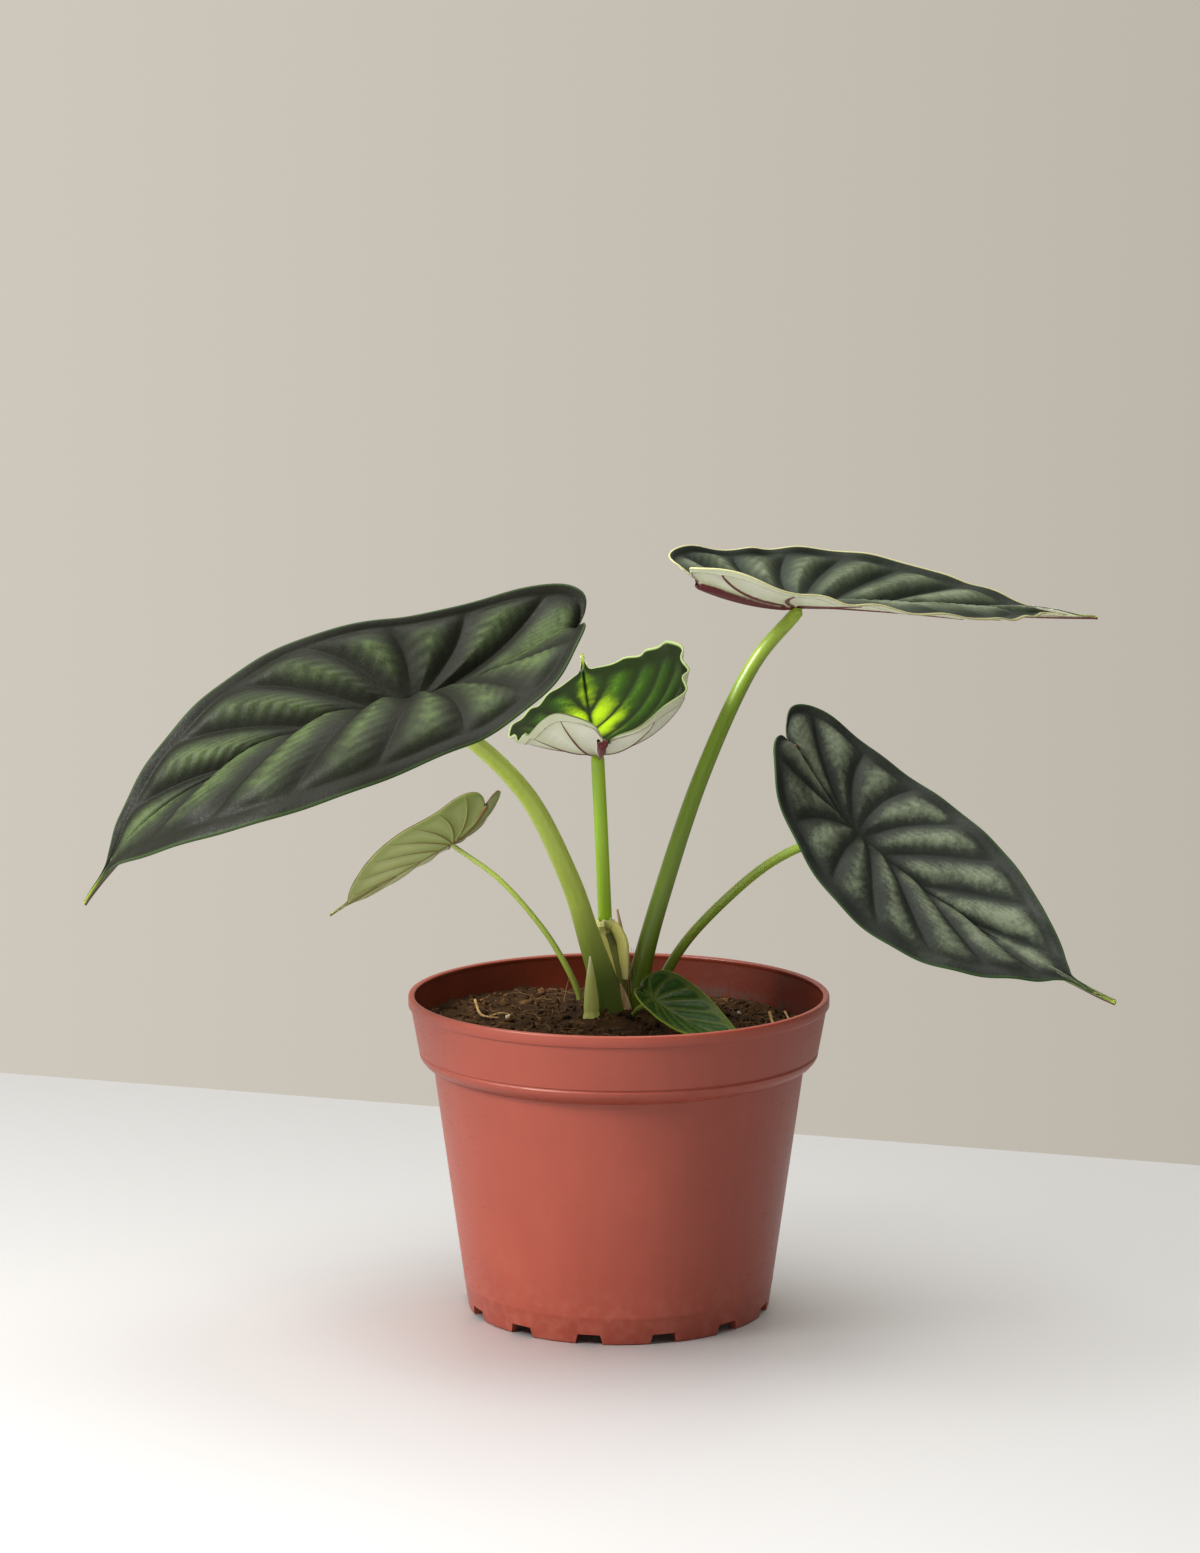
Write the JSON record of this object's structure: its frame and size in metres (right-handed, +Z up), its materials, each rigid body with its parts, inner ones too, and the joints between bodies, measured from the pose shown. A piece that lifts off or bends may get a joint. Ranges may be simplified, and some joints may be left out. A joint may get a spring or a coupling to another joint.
{
  "type": "potted alocasia",
  "caption": "Young shield-leaved alocasia with quilted dark green blades on arching petioles, growing in peat soil in a round tapered plastic nursery pot.",
  "frame": {"origin": "middle of the pot's foot, on the surface it stands on, which is also the middle of the plant's spread", "axes": "+Z up along the pot's axis, +X along the widest spread of the leaves, +Y towards the back"},
  "size_m": [0.3596, 0.2034, 0.2693],
  "materials": {
    "terracotta_plastic": "satin outside, glossier inside",
    "peat_soil": null,
    "corm": "rough brown skin",
    "dark_blade": null,
    "fresh_blade": "glossy young leaf",
    "petiole": "satin leaf stalk",
    "pale_cataphyll": "satin pale sheath",
    "dry_sheath": "dry papery sheath"
  },
  "bodies": {
    "root": {"pot": "terracotta_plastic", "soil": "peat_soil", "rhizome": "corm", "blade_large_left": "dark_blade", "blade_young_centre": "fresh_blade", "blade_high_right": "dark_blade", "blade_hanging_right": "dark_blade", "blade_small_left": "dark_blade", "blade_low_front": "fresh_blade", "petiole_large_left": "petiole", "petiole_young_centre": "petiole", "petiole_high_right": "petiole", "petiole_hanging_right": "petiole", "petiole_small_left": "petiole", "petiole_low_front": "petiole", "cataphyll_pointed": "pale_cataphyll", "cataphyll_wrapped": "pale_cataphyll", "cataphyll_dry": "dry_sheath"}
  },
  "joints": []
}
